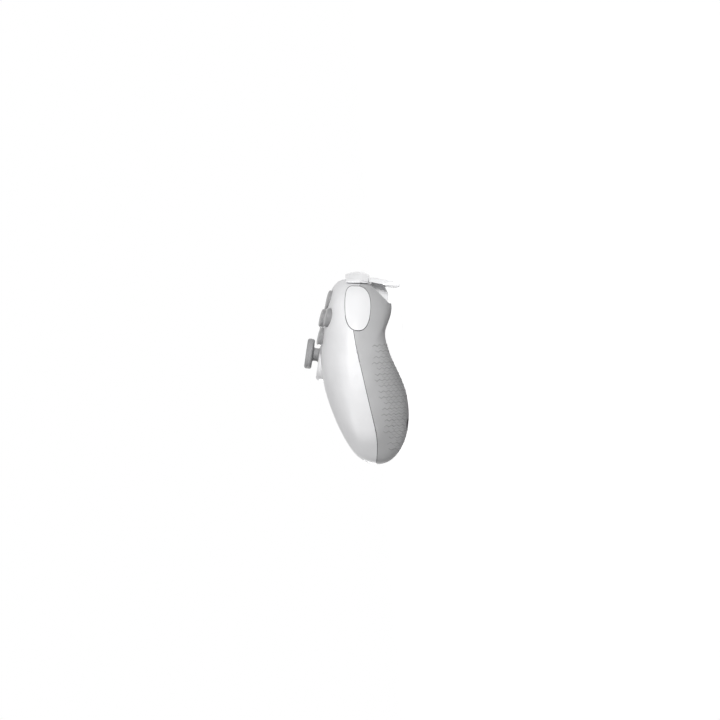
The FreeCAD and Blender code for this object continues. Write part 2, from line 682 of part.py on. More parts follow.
def bumper_bracket():
    """Ledges over the bumper's hinge barrel and over its switch."""
    px, py = BUMPER_PIVOT
    ledge = box(px - 2.3, px + 2.2, py - 6.5, py + 2.0, BARREL_Z[1] + 0.5, BRACKET_TOP)
    top = SWITCH_Z[1]
    over_switch = box(SWITCH_X[0] - 0.5, SWITCH_X[1] + 0.5, SWITCH_Y[0] - 3.0, SWITCH_Y[1], top, top + 2.2)
    return ledge.fuse(over_switch)


def mid_frame(skins):
    """Inner frame: a tilted plate with button shelves, motor cradles and bumper brackets."""
    frame = frame_plate()
    for side in (-1, 1):
        frame = frame.fuse(button_stand(skins, side))
        holds = motor_cradle().fuse(bumper_bracket())
        frame = frame.fuse(holds if side > 0 else mirrored(holds))
    for side in (-1, 1):
        px, py = BUMPER_PIVOT
        pin_hole = cylinder(BUMPER_PIN_RADIUS + CLOSE, BARREL_Z[0] - 3, BRACKET_TOP + 1, px * side, py)
        frame = frame.cut(pin_hole)
    return frame.removeSplitter()


def board_switches(skins):
    """Press switches under the touchpad, the home button and the two menu buttons."""
    shapes = []
    high = BOARD_TOP + FRAME_GAP + FRAME_THICKNESS
    home_tip = skin_height(skins["outer"], 0, HOME_Y) - SMALL_DEPTH - SMALL_TRAVEL - 0.2
    foot = tilted(box(-3, 3, -5, 2, BOARD_TOP, BOARD_TOP + 3.0))
    shapes.append(fused([foot, cylinder(1.6, RIM_Z + BOARD_TOP + 1.5, home_tip, 0, HOME_Y)]))
    shapes.append(tilted(fused([box(-3, 3, 14, 20, high, high + 3), cylinder(1.6, high, -6.2, 0, 17)])))
    return Part.makeCompound(shapes)


# Face controls

def round_button():
    """Domed button with its retaining flange."""
    r = BUTTON_RADIUS
    low = -FLANGE_DEPTH - BUTTON_FLANGE
    return turned([
        (0, low), (r + FLANGE_REACH, low), (r + FLANGE_REACH, -FLANGE_DEPTH), (r, -FLANGE_DEPTH),
        (r, BUTTON_PROUD - 0.9),
        ((r - 0.2, BUTTON_PROUD - 0.5), (r - 0.7, BUTTON_PROUD - 0.3)),
        crown(r - 0.7, BUTTON_PROUD - 0.3, BUTTON_PROUD),
    ])


def rubber_mat(spots):
    """Rubber sheet with one dome under each button or arm."""
    low = -SHELF_DEPTH
    dome_top = -FLANGE_DEPTH - BUTTON_FLANGE - 0.2
    sheet = cylinder(SHELF_RADIUS - 0.8, low, low + RUBBER_SHEET)
    domes = [Part.makeCone(3.7, 2.7, dome_top - low - 0.5, V(x, y, low + 0.5)) for x, y in spots]
    return fused([sheet] + domes)


def dpad():
    """Rocking cross with a dished middle."""
    low = -FLANGE_DEPTH - BUTTON_FLANGE
    cross = cross_prism(DPAD_REACH, DPAD_HALF_WIDTH, 1.2, low + 0.6, DPAD_PROUD)
    dish = Part.makeSphere(24.0, V(0, 0, DPAD_PROUD + 23.2))
    cross = cross.cut(dish)
    return cross.fuse(cylinder(4.6, low, low + 1.0)).removeSplitter()


def dpad_rocker():
    """Small foot under the cross that rolls on the shelf."""
    low = -SHELF_DEPTH + RUBBER_SHEET + 0.3
    top = -FLANGE_DEPTH - BUTTON_FLANGE - FIT
    foot = (top - low) / 2
    return fused([cylinder(2.2, low + foot, top), Part.makeSphere(foot, V(0, 0, low + foot))])


def small_button(skin, half_x, half_y, radius, place):
    """Low button that follows the face, with a flange behind the wall."""
    local = rounded_slab(half_x, half_y, radius, -SMALL_DEPTH, 6.0)
    flange = rounded_slab(half_x + 0.8, half_y + 0.8, radius + 0.6, -SMALL_DEPTH, -SMALL_DEPTH + 0.6)
    body = put(local, place).common(skin)
    return body.fuse(put(flange, place)).removeSplitter()


def home_button(skins):
    round_slab = small_button(skins["outer"], HOME_RADIUS, HOME_RADIUS, HOME_RADIUS - 0.05, home_place(skins))
    return whole(round_slab.common(box(0, 20, -30, 30, 0, 60)))


def touchpad_place(skins):
    middle = sum(TOUCHPAD_Y) / 2
    return slope_placement(skins["outer"], 0, middle, TOUCHPAD_TILT)


def touchpad_slab(skins, grow, z0, z1):
    half_y = (TOUCHPAD_Y[1] - TOUCHPAD_Y[0]) / 2 / math.cos(math.radians(TOUCHPAD_TILT))
    slab = rounded_slab(TOUCHPAD_HALF_X + grow, half_y + grow, 3.0 + grow, z0, z1)
    return put(slab, touchpad_place(skins))


def whole(half):
    return half.fuse(mirrored(half))


def touchpad(skins):
    plate = skins["outer"].cut(skins["pad"]).common(touchpad_slab(skins, 0, -8, 8))
    return whole(plate)


def menu_place(skins, side):
    return slope_placement(skins["outer"], MENU_X * side, MENU_Y, TOUCHPAD_TILT)


def home_place(skins):
    return slope_placement(skins["outer"], 0, HOME_Y, 0)


# Light window, bumpers and triggers

def light_window(grow, y0):
    return box(-1, LIGHT_HALF_X + grow, y0, 60, LIGHT_Z[0] - grow, LIGHT_Z[1] + grow)


def light_bar(skins):
    """Clear bar in the front wall with a flange behind it."""
    bar = skins["outer"].common(light_window(0, 38)).cut(skins["behind"])
    flange = skins["behind"].common(light_window(1.5, 38)).cut(skins["deep"])
    return whole(bar.fuse(flange))


def front_opening():
    """Space in front of the covers that the bumper and the trigger take."""
    top = BUMPER_SEAT[0][1]
    points = BUMPER_SEAT + [(32.3, 6.4), (31.8, -5.0), (60.0, -5.0), (60.0, top)]
    return prism_x(points, BUMPER_X_MIN - FIT, 100)


def skirt_room():
    """Space that the trigger's skirt turns in, up to the bumper."""
    room = rod_x(SKIRT_RADIUS + SKIRT_GAP, SKIRT_X[0] - SKIRT_GAP, SKIRT_X[1] + SKIRT_GAP, *TRIGGER_PIVOT)
    return room.common(box(30, 60, 20, 60, 0, 18.0))


def below_divide(drop=0.0):
    """Everything below the sloping line that parts the bumper from the trigger."""
    (z0, z1), (x0, x1) = DIVIDE_Z, (BUMPER_X_MIN, TRIGGER_X[1])
    slope = (z1 - z0) / (x1 - x0)
    points = [(x, z0 + slope * (x - x0) - drop) for x in (0.0, 100.0)] + [(100.0, -10.0), (0.0, -10.0)]
    return profile_face(points, lambda x, z: V(x, 20.0, z)).extrude(V(0, 60.0, 0))


def bumper(skins, side):
    """Crescent bar in front of the covers, with its stem and hinge arm behind."""
    low = DIVIDE_Z[0] - 1.0
    edge = [(y + BUMPER_GAP, z) for y, z in BUMPER_SEAT]
    zone = prism_x(edge + [(edge[-1][0], low), (60, low), (60, 27.4)], BUMPER_X_MIN, 100)
    bar = skins["nose"].common(zone).cut(below_divide())
    px, py = BUMPER_PIVOT
    barrel = cylinder(BARREL_RADIUS, BARREL_Z[0], BARREL_Z[1], px, py)
    body = fused([bar, barrel] + bumper_legs())
    body = body.cut(cylinder(BUMPER_PIN_RADIUS + PIN_FIT, BARREL_Z[0] - 2, BARREL_Z[1] + 2, px, py))
    return body if side > 0 else mirrored(body)


def bumper_legs(grow=0.0):
    """Hinge arm and stem behind the bumper, or with grow the slots that they move in."""
    legs = []
    for (x0, x1), y0 in ((ARM_X, BUMPER_PIVOT[1]), (STEM_X, SWITCH_Y[1] + PLUNGER + BUMPER_TRAVEL_GAP)):
        legs.append(box(x0 - grow * 1.4, x1 + grow * 1.4, y0, 47.0, ARM_Z[0] - grow, ARM_Z[1] + grow))
    return legs


def bumper_pins():
    px, py = BUMPER_PIVOT
    pins = [cylinder(BUMPER_PIN_RADIUS, BARREL_Z[0], BRACKET_TOP, px * side, py) for side in (-1, 1)]
    return Part.makeCompound(pins)


def bumper_switches():
    shapes = []
    for side in (-1, 1):
        body = box(*SWITCH_X, *SWITCH_Y, *SWITCH_Z)
        plunger = rod_y(0.9, SWITCH_Y[1] - 0.1, SWITCH_Y[1] + PLUNGER, sum(SWITCH_X) / 2, 23.2)
        switch = fused([body, plunger])
        shapes.append(switch if side > 0 else mirrored(switch))
    return Part.makeCompound(shapes)


def trigger(side):
    """Curved finger plate with a hollow skirt that turns on the pin."""
    centre = TRIGGER_PIVOT
    outer = SKIRT_RADIUS
    inner = outer - SKIRT_WALL
    plate = prism_x([
        (43.7, 14.8), (44.0, 16.6), (46.2, 16.6), (46.2, 14.9), ((45.4, 10.6), (44.1, 6.0)),
        ((43.1, 2.6), (42.1, 0.5)), ((41.5, 0.05), (40.9, 0.7)), (40.7, 2.4), ((41.4, 6.0), (42.3, 9.2)),
    ], TRIGGER_X[0], TRIGGER_X[1]).common(below_divide(DIVIDE_GAP))
    plan = box(TRIGGER_X[0], TRIGGER_X[1], 0, TRIGGER_FRONT, -5, 20)
    for radius, pick in zip(TRIGGER_CORNERS, (min, max)):
        front = [e for e in plan.Edges if abs(e.tangentAt(e.FirstParameter).z) > 0.9 and e.BoundBox.YMin > 40]
        plan = plan.makeFillet(radius, [pick(front, key=lambda e: e.BoundBox.XMin)])
    plate = plate.common(plan)
    end = polar(outer, -120, centre)
    skirt = prism_x([
        (43.0, 14.9), (44.4, 14.0), (43.6, 9.0), (42.6, 7.2), (40.6, 7.9), (39.0, 7.2),
        polar(outer, -81, centre), (polar(outer, -100, centre), end),
        (32.6, 17.5), (polar(3.9, 135, centre), (36.5, 21.4)), (39.5, 20.6),
    ], SKIRT_X[0], SKIRT_X[1])
    pocket = prism_x([
        (41.6, 14.0), (42.4, 12.6), (41.7, 9.9), (40.6, 9.2),
        polar(inner, -72, centre), (polar(inner, -96, centre), polar(inner, -120, centre)),
        (28.0, 11.0), (28.0, 24.0), (41.6, 24.0),
    ], SKIRT_X[0] + SKIRT_WALL, SKIRT_X[1] - SKIRT_WALL)
    pin_hole = rod_x(TRIGGER_PIN_RADIUS + PIN_FIT, 30, 60, *centre)
    body = plate.fuse(skirt).cut(pocket).cut(pin_hole).removeSplitter()
    return body if side > 0 else mirrored(body)


def trigger_pins():
    pins = []
    for side in (-1, 1):
        reach = LUG_GAP + LUG_WIDTH
        pin = rod_x(TRIGGER_PIN_RADIUS, SKIRT_X[0] - reach, SKIRT_X[1] + reach, *TRIGGER_PIVOT)
        pins.append(pin if side > 0 else mirrored(pin))
    return Part.makeCompound(pins)


def trigger_spring(side):
    """Torsion spring round the pin, with one leg on the trigger and one on the cover."""
    y, z = TRIGGER_PIVOT
    x0, x1 = SPRING_X
    coil = rod_x(SPRING_RADIUS, x0, x1, y, z).cut(rod_x(TRIGGER_PIN_RADIUS + FIT, x0 - 1, x1 + 1, y, z))
    off = (SPRING_RADIUS + TRIGGER_PIN_RADIUS + FIT) / 2
    front_leg = Part.makeCylinder(SPRING_WIRE, 4.6, V(x0 + SPRING_WIRE, y + off, z), V(0, 0.55, -0.83))
    rear_leg = Part.makeCylinder(SPRING_WIRE, 8.0, V(x1 - SPRING_WIRE, y, z - off), V(0, -1, -0.2))
    spring = fused([coil, front_leg, rear_leg])
    return spring if side > 0 else mirrored(spring)


def trigger_lugs(core):
    """Two ears on the rear cover that hold the trigger's pin."""
    ear = [(25.0, 4.0), (31.4, 4.0), (33.4, 8.6), (38.6, 14.8), (39.0, 17.5),
           (polar(2.6, 45, TRIGGER_PIVOT), (36.5, 20.1)), (33.0, 19.0)]
    left, right = SKIRT_X[0] - LUG_GAP, SKIRT_X[1] + LUG_GAP
    ears = [prism_x(ear, left - LUG_WIDTH, left), prism_x(ear, right, right + LUG_WIDTH)]
    hole = rod_x(TRIGGER_PIN_RADIUS + CLOSE, 30, 60, *TRIGGER_PIVOT)
    return [e.common(core).cut(hole) for e in ears]


# Covers

def post(x, y, radius, z0, z1, core):
    return cylinder(radius, z0, z1, x, y).common(core)


def front_cover(skins):
    """Front cover with pods, face openings and screw posts."""
    gap = SHELL_GAP / 2
    outer = skins["outer"]
    half = outer.common(parting_side(True, gap))
    half = half.cut(skins["inner"])
    for x, y, z in SCREW_PLACES:
        half = half.fuse(post(x, y, FRONT_POST_RADIUS, z + gap, 60, skins["core"]))
        half = half.cut(cylinder(SCREW_SHANK_RADIUS + CLOSE, z - 1, z + SCREW_BITE + 1.0, x, y))
    well = at_stick(cylinder(POD_BASE_RADIUS - 1.2, -3.0, 20.0), 1)
    half = half.cut(well).fuse(at_stick(pod(), 1))
    half = half.cut(oval_prism(-FIT).cut(skins["seat"]))
    half = half.cut(front_opening())
    for slot in bumper_legs(ARM_ROOM):
        half = half.cut(slot)
    half = half.cut(touchpad_slab(skins, TOUCHPAD_GAP, -8, 8))
    half = half.cut(light_window(FIT, 38))
    menu_hole = rounded_slab(MENU_HALF[0] + FIT, MENU_HALF[1] + FIT, MENU_HALF[0] + FIT - CLOSE, -6, 6)
    half = half.cut(put(menu_hole, menu_place(skins, 1)))
    half = half.cut(put(cylinder(HOME_RADIUS + FIT, -6, 6), home_place(skins)))
    body = whole(half)
    place = cluster_placement(outer, 1)
    for x, y in BUTTON_SPOTS.values():
        body = body.cut(put(cylinder(BUTTON_RADIUS + FIT, -9, 9, x, y), place))
        flange_room = cylinder(BUTTON_RADIUS + FLANGE_REACH + FIT, -9, -FLANGE_DEPTH + FIT, x, y)
        body = body.cut(put(flange_room, place))
    reach, half_width = DPAD_REACH + DPAD_GAP, DPAD_HALF_WIDTH + DPAD_GAP
    body = body.cut(put(cross_prism(reach, half_width, 1.5, -9, 9), cluster_placement(outer, -1)))
    body = body.cut(tilted(rod_y(3.3, -30, -6, 0, jack_axis_n())))
    body = body.cut(tilted(charge_opening()))
    for i in range(GRILLE_SLOTS):
        y = GRILLE_Y + (i - (GRILLE_SLOTS - 1) / 2) * GRILLE_STEP
        slot = rounded_slab(GRILLE_HALF_X, 0.45, 0.44, -6, 6)
        body = body.cut(put(slot, slope_placement(outer, 0, y, 5.0)))
    return body


def charge_opening():
    """Oblong hole in front of the charging socket."""
    hole = rounded_slab(5.2, 2.3, 2.2, 30, 50)
    hole.rotate(V(0, 0, 0), V(1, 0, 0), -90)
    hole.translate(V(0, 0, BOARD_TOP - BOARD_THICKNESS - 1.6))
    return hole


def rear_cover(skins):
    """Rear cover with screw posts, the trigger opening and the ears for the trigger pins."""
    gap = SHELL_GAP / 2
    half = skins["outer"].common(parting_side(False, -gap))
    half = half.cut(skins["inner"])
    for x, y, z in SCREW_PLACES:
        half = half.fuse(post(x, y, REAR_POST_RADIUS, -5, z - gap, skins["core"]))
        half = half.cut(cylinder(SCREW_SHANK_RADIUS + FIT, z - 20, z + 1, x, y))
        half = half.cut(cylinder(SCREW_HEAD_RADIUS + FIT, -10, z - SCREW_GRIP, x, y))
    half = half.cut(oval_prism(-FIT).cut(skins["seat"]))
    half = half.cut(front_opening()).cut(skirt_room())
    for slot in bumper_legs(ARM_ROOM):
        half = half.cut(slot)
    half = half.fuse(trigger_lugs(skins["core"]))
    body = whole(half)
    return body.cut(tilted(charge_opening()))


def shell_screws():
    screws = []
    for x, y, z in SCREW_PLACES:
        seat = z - SCREW_GRIP
        head = turned([(0, seat), (SCREW_HEAD_RADIUS, seat), (SCREW_HEAD_RADIUS, seat - 0.9),
                       crown(SCREW_HEAD_RADIUS, seat - 0.9, seat - 2.0)])
        screw = head.fuse(cylinder(SCREW_SHANK_RADIUS, seat - 0.5, z + SCREW_BITE))
        screw.translate(V(x, y, 0))
        screws += [screw, mirrored(screw)]
    return Part.makeCompound(screws)


def side_cap(skins, side):
    """Oval cover plate over the joint of the two covers."""
    cap = skins["proud"].common(oval_prism()).cut(skins["cap_back"])
    return cap if side > 0 else mirrored(cap)


# Build

skins = {
    "outer": half_skin(),
    "inner": half_skin(WALL),
    "core": half_skin(WALL / 2),
    "seat": half_skin(CAP_DEPTH),
    "cap_back": half_skin(CAP_DEPTH - CLOSE),
    "proud": half_skin(-CAP_PROUD),
    "pad": half_skin(TOUCHPAD_THICKNESS),
    "behind": half_skin(WALL + CLOSE),
    "deep": half_skin(WALL + 1.2),
    "nose": half_skin(0.0, BUMPER_NOSE),
}
NAMES = {-1: "left", 1: "right"}

save("front_cover", front_cover(skins))
save("rear_cover", rear_cover(skins))
save("shell_screws", shell_screws())
save("touchpad", touchpad(skins))
save("light_bar", light_bar(skins))
save("home_button", home_button(skins))
for side, name in NAMES.items():
    save("side_cap_" + name, side_cap(skins, side))
    save("bumper_" + name, bumper(skins, side))
    save("trigger_" + name, trigger(side))
    save("trigger_spring_" + name, trigger_spring(side))
    save("stick_housing_" + name, at_stick(stick_housing(), side))
    save("stick_sensors_" + name, at_stick(stick_sensors(), side))
    save("stick_seat_" + name, at_stick(stick_seat(), side))
    save("stick_carrier_" + name, at_stick(stick_carrier(), side))
    save("stick_yoke_" + name, at_stick(stick_yoke(), side))
    save("stick_shaft_" + name, at_stick(stick_shaft(), side))
    save("thumb_cap_" + name, at_stick(thumb_cap(), side))
    save("rumble_motor_" + name, motor(side))
    save("rumble_weight_" + name, weight(side))
    menu = small_button(skins["outer"], *MENU_HALF, MENU_HALF[0] - CLOSE, menu_place(skins, 1))
    save("menu_button_" + name, menu if side > 0 else mirrored(menu))
for name, (x, y) in BUTTON_SPOTS.items():
    button = round_button()
    button.translate(V(x, y, 0))
    save("face_button_" + name, put(button, cluster_placement(skins["outer"], 1)))
save("face_button_rubber", put(rubber_mat(BUTTON_SPOTS.values()), cluster_placement(skins["outer"], 1)))
save("dpad", put(dpad(), cluster_placement(skins["outer"], -1)))
save("dpad_rocker", put(dpad_rocker(), cluster_placement(skins["outer"], -1)))
save("dpad_rubber", put(rubber_mat([(x * 0.8, y * 0.8) for x, y in BUTTON_SPOTS.values()]),
                        cluster_placement(skins["outer"], -1)))
save("bumper_pins", bumper_pins())
save("bumper_switches", bumper_switches())
save("trigger_pins", trigger_pins())
save("main_board", board())
save("board_chips", chips())
save("board_switches", board_switches(skins))
save("charge_socket", charge_socket())
save("headset_jack", headset_jack())
save("battery", battery())
save("battery_tray", battery_tray())
save("mid_frame", mid_frame(skins))
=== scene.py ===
import functools
import json
import math

import bmesh
import bpy
from mathutils import Matrix, Vector
from mathutils.bvhtree import BVHTree


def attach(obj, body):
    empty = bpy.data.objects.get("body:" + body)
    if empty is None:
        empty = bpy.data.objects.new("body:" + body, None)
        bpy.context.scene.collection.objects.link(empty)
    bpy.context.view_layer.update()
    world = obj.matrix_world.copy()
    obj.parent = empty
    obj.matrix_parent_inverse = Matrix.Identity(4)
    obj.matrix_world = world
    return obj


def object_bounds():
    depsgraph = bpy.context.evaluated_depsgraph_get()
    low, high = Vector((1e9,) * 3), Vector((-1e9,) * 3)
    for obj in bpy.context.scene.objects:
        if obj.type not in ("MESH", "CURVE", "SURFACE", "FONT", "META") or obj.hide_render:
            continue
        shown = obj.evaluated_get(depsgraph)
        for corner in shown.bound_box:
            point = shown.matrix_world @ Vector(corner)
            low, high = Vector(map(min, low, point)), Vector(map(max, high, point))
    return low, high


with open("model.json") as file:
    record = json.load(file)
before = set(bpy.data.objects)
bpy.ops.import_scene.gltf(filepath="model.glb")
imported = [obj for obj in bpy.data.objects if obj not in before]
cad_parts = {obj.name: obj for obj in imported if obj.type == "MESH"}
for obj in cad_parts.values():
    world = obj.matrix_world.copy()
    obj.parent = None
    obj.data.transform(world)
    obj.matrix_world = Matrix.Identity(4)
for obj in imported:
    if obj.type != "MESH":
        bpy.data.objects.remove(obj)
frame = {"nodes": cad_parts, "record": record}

# Gamepad on its back: +X is the player's right, +Y points away from the player, +Z comes out
# of the face. Lengths are in metres, and values that end in _MM are in millimetres.

CAD_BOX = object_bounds()
NODES = frame["nodes"]
MM = 0.001
SIDES = {"left": -1, "right": 1}
SIDE_START = 0.12              # lines that look for a surface from the side start at this X

# Camera: the photograph looks along -X with the bumpers up and the face to the left
CAMERA_AIM_MM = (55.0, 4.26, 23.26)
CAMERA_DISTANCE = 4.0
CAMERA_ROLL = math.radians(3.81)
CAMERA_NEAR = 0.01
CAMERA_FAR = 50.0
PIXELS_PER_MM = 1.95
PHOTO_PIXELS = 720
SENSOR_MM = 36.0

# Light: each lamp's place, the point that it faces and its power in watts
LAMPS = {
    "key": ((1.55, 0.86, 0.06), (0.05, 0.0, 0.02), 36.5),
    "front": ((0.6, -0.6, 1.05), (0.04, 0.0, 0.02), 4.8),
    "far": ((-1.25, -0.85, 0.15), (-0.05, 0.0, 0.02), 8.0),
}
LAMP_SIZE = (0.5, 0.5)
WORLD_LIGHT = 0.2
FLOOR_REACH = 6.0
FLOOR_SHOWN = (0.72, 0.72, 0.72)
FLOOR_GLOW = 0.86
FLOOR_BOUNCE = (0.62, 0.62, 0.62)

# Colours, linear
FRONT_WHITE = (0.80, 0.80, 0.81)
REAR_GREY = (0.50, 0.50, 0.505)
# grip ridges: a darker copy of the rear grey, painted shade for the shading of the ridge flanks
RIDGE_PAINTED_SHADE = (0.34, 0.34, 0.345)
GLOSS_WHITE = (0.88, 0.88, 0.89)
PAD_GREY = (0.50, 0.50, 0.51)
BUTTON_GREY = (0.27, 0.27, 0.275)
CAP_GREY = (0.30, 0.30, 0.305)
INNER_BLACK = (0.035, 0.035, 0.038)
SENSOR_GREEN = (0.05, 0.2, 0.1)
SILICONE_GREY = (0.45, 0.45, 0.43)
BOARD_GREEN = (0.015, 0.09, 0.04)
CHIP_BLACK = (0.02, 0.02, 0.022)
BRIGHT_STEEL = (0.6, 0.6, 0.61)
SPRING_STEEL = (0.5, 0.5, 0.52)
WEIGHT_BRASS = (0.66, 0.5, 0.24)
BATTERY_BLUE = (0.05, 0.1, 0.25)
MILKY_DARK = (0.78, 0.81, 0.85)
MILKY_LIGHT = (0.86, 0.88, 0.91)

# Sizes of the patterns in the materials
FLOW_MM = 14.0                 # flow mottling of moulded plastic
SHEEN_MM = 5.0
WAVINESS_MM = 9.0
WAVINESS_HEIGHT_MM = 0.01
COAT_ROUGHNESS = 0.08
METAL_LINES = 900.0
METAL_LINE_HEIGHT_MM = 0.004
ALONG_Z = (1.0, 1.0, 12.0)
EVEN = (1.0, 1.0, 1.0)
PEBBLE_MM = 0.45
PEBBLE_HEIGHT_MM = 0.02
RUBBED_MM = 4.0
TRACKS = 260.0
TRACK_GAP = 0.012
TRACK_HEIGHT_MM = 0.03

# Grip texture: the middle of a grip, seen along Y, and the rows of zigzag ridges round it
GRIP_X_MM = 59.5
GRIP_Z_MM = 19.5
GRIP_LEAN = 0.066              # the grip's middle moves out by this share of the way from GRIP_TOP_Y_MM
GRIP_TOP_Y_MM = 25.0
GRIP_START = 0.06              # lines that look for the grip's surface start this far from its middle
GRIP_LEAST_MM = 8.0            # and find nothing nearer to it than this
GRIP_RADIUS_MM = 17.0
TEXTURE_TURN_DEG = (20, -200)
TEXTURE_Y_MM = (11.0, -45.0)
ROW_PITCH_MM = 2.95
ROW_STAGGER_MM = 0.9
WAVE_MM = 2.6                  # one zigzag along a row
WAVE_SWING_MM = 0.45           # half the height of the zigzag
STRETCH_LIMIT = 0.55
BETWEEN_BACK_MM = 3.4          # the rows between start this much further back
BETWEEN_SHARE = 0.62
NO_LENGTH = 1e-9
RIDGE_HALF_MM = 0.24
RIDGE_CREST_MM = 0.08
RIDGE_HEIGHT_MM = 0.2
RIDGE_END_SHARE = 0.35
RIDGE_FOOT_MM = 0.05           # the ridge's foot lies this deep in the cover
REST_CLEAR_MM = 0.5            # no ridge starts this near the plane that the grips rest on
INNER_SIDE_X_MM = 52.0
PARTING_MARGIN_MM = 3.6        # on the inner side the texture stops this far below the outer side's edge
# Upper edge of the textured area on the outer side of the grip, as Y and Z
TEXTURE_EDGE_MM = [(12.0, 16.5), (10.5, 17.4), (-3.9, 17.8), (-16.8, 15.6), (-32.3, 14.7),
                   (-42.6, 13.2), (-46.0, 12.6)]

# Painted shade in the joint of the covers: a dark strip set back in the gap stands in for the gap's
# shade
SHADE_STRIP_Y_MM = (19.0, -49.0)
SHADE_STRIP_STEP_MM = 0.8
SHADE_STRIP_SEARCH_MM = (14.0, 29.0)
SHADE_STRIP_BACK_MM = 0.45
SHADE_STRIP_DEPTH_MM = 1.6
GROOVE_REACH_MM = 1.0          # the front cover's edge is looked for this far above the rear cover's
GROOVE_MOST_MM = 0.6           # a wider gap is no joint
GROOVE_PAST_MM = 0.1           # the covers' level is taken this far past their edges
GROOVE_LEAST_X = 0.03
HEIGHT_HALVINGS = 12

# Shadow line round a side cap: middle of the cap as Y and Z, and the line's own section
CAP_MIDDLE_MM = (30.5, 22.5)
CAP_SEARCH_MM = (3.0, 16.0)
CAP_HALVINGS = 14
CAP_LINE_STEPS = 120
CAP_LINE_WIDTH_MM = 0.4
CAP_LINE_LOOK_MM = 0.7         # the covers' level is taken this far outside the cap
CAP_LINE_RISE_MM = 0.03
CAP_LINE_DEPTH_MM = 0.5

# Lip of a bumper: its height range, the bumper's flat back as Z and Y, and the lip's own section
LIP_Z_MM = (16.4, 27.8)
BAR_BACK_MM = [(15.9, 43.65), (20.0, 45.55), (28.0, 46.85)]
LIP_ROOT_MM = 0.1              # reaches this far up into the bumper
LIP_DROP_MM = [(16.4, 0.7), (21.0, 2.0), (27.8, 2.4)]   # and this far down from its back, by Z
LIP_CLEAR_MM = 0.55
LIP_EDGE_MM = 0.9
LIP_SLANT = 1.65
LIP_ROUND = 1.8
LIP_ROWS = 24
LIP_STEPS = 8
LIP_SHARP_DEG = 40
LEAST_SLOPE = 0.3


# Materials

class Nodes:
    """Short access to one material's node tree."""

    def __init__(self, name):
        self.material = bpy.data.materials.new(name)
        self.material.use_nodes = True
        self.tree = self.material.node_tree
        self.shader = self.tree.nodes["Principled BSDF"]
        self.place = self.tree.nodes.new("ShaderNodeTexCoord").outputs["Object"]

    def add(self, kind, **inputs):
        node = self.tree.nodes.new(kind)
        for name, value in inputs.items():
            node.inputs[name].default_value = value
        return node

    def link(self, source, target):
        self.tree.links.new(source, target)

    def feed(self, source, socket):
        """Link the source to the shader's socket."""
        self.link(source, self.shader.inputs[socket])

    def fix(self, socket, value):
        """Set the shader's own socket."""
        self.shader.inputs[socket].default_value = value

    def noise(self, size_mm, detail=2.0):
        """Noise of about this feature size."""
        node = self.add("ShaderNodeTexNoise", Scale=1.0 / (size_mm * MM), Detail=detail)
        self.link(self.place, node.inputs["Vector"])
        return node.outputs["Fac"]

    def spread(self, source, low, high, start=0.3, end=0.7):
        node = self.add("ShaderNodeMapRange")
        self.link(source, node.inputs["Value"])
        for name, value in (("From Min", start), ("From Max", end), ("To Min", low), ("To Max", high)):
            node.inputs[name].default_value = value
        return node.outputs["Result"]

    def ramp(self, source, colours):
        node = self.add("ShaderNodeValToRGB")
        self.link(source, node.inputs["Fac"])
        elements = node.color_ramp.elements
        while len(elements) < len(colours):
            elements.new(0.5)
        for element, (position, colour) in zip(elements, colours):
            element.position = position
            element.color = (*colour, 1.0)
        return node.outputs["Color"]

    def bump(self, source, height_mm, previous=None):
        node = self.add("ShaderNodeBump", Strength=1.0, Distance=height_mm * MM)
        self.link(source, node.inputs["Height"])
        if previous is not None:
            self.link(previous, node.inputs["Normal"])
        return node.outputs["Normal"]


def shade(colour, factor):
    return tuple(min(1.0, c * factor) for c in colour)


def plastic(name, colour, roughness, grain_mm=0.25, grain_height_mm=0.006, mottle=0.04,
            coat=0.0, shine=0.5):
    """Moulded plastic: fine grain, faint flow mottling and slightly uneven sheen."""
    n = Nodes(name)
    tones = [(0.3, shade(colour, 1 - mottle)), (0.7, shade(colour, 1 + mottle))]
    n.feed(n.ramp(n.noise(FLOW_MM, 4.0), tones), "Base Color")
    n.feed(n.spread(n.noise(SHEEN_MM, 3.0), roughness - 0.04, roughness + 0.05), "Roughness")
    fine = n.bump(n.noise(grain_mm), grain_height_mm)
    n.feed(n.bump(n.noise(WAVINESS_MM, 1.0), WAVINESS_HEIGHT_MM, fine), "Normal")
    n.fix("Specular IOR Level", shine)
    n.fix("Coat Weight", coat)
    n.fix("Coat Roughness", COAT_ROUGHNESS)
    return n.material


def metal(name, colour, roughness, stretch=ALONG_Z):
    """Drawn or rolled metal with fine lines along one way."""
    n = Nodes(name)
    n.fix("Metallic", 1.0)
    mapping = n.add("ShaderNodeMapping")
    mapping.inputs["Scale"].default_value = stretch
    n.link(n.place, mapping.inputs["Vector"])
    texture = n.add("ShaderNodeTexNoise", Scale=METAL_LINES, Detail=2.0)
    n.link(mapping.outputs["Vector"], texture.inputs["Vector"])
    lines = texture.outputs["Fac"]
    n.feed(n.ramp(lines, [(0.35, shade(colour, 0.86)), (0.65, shade(colour, 1.1))]), "Base Color")
    n.feed(n.spread(lines, roughness - 0.07, roughness + 0.1), "Roughness")
    n.feed(n.bump(lines, METAL_LINE_HEIGHT_MM), "Normal")
    return n.material


def soft_rubber(name, colour, roughness):
    """Matt rubber with a fine pebbled skin and lighter rubbed spots."""
    n = Nodes(name)
    cells = n.add("ShaderNodeTexVoronoi", Scale=1.0 / (PEBBLE_MM * MM))
    n.link(n.place, cells.inputs["Vector"])
    n.feed(n.ramp(n.noise(RUBBED_MM, 5.0), [(0.35, colour), (0.75, shade(colour, 1.22))]), "Base Color")
    n.feed(n.spread(n.noise(3.0, 3.0), roughness - 0.06, roughness + 0.06), "Roughness")
    n.feed(n.bump(cells.outputs["Distance"], PEBBLE_HEIGHT_MM), "Normal")
    n.fix("Sheen Weight", 0.15)
    n.fix("Sheen Roughness", 0.4)
    return n.material


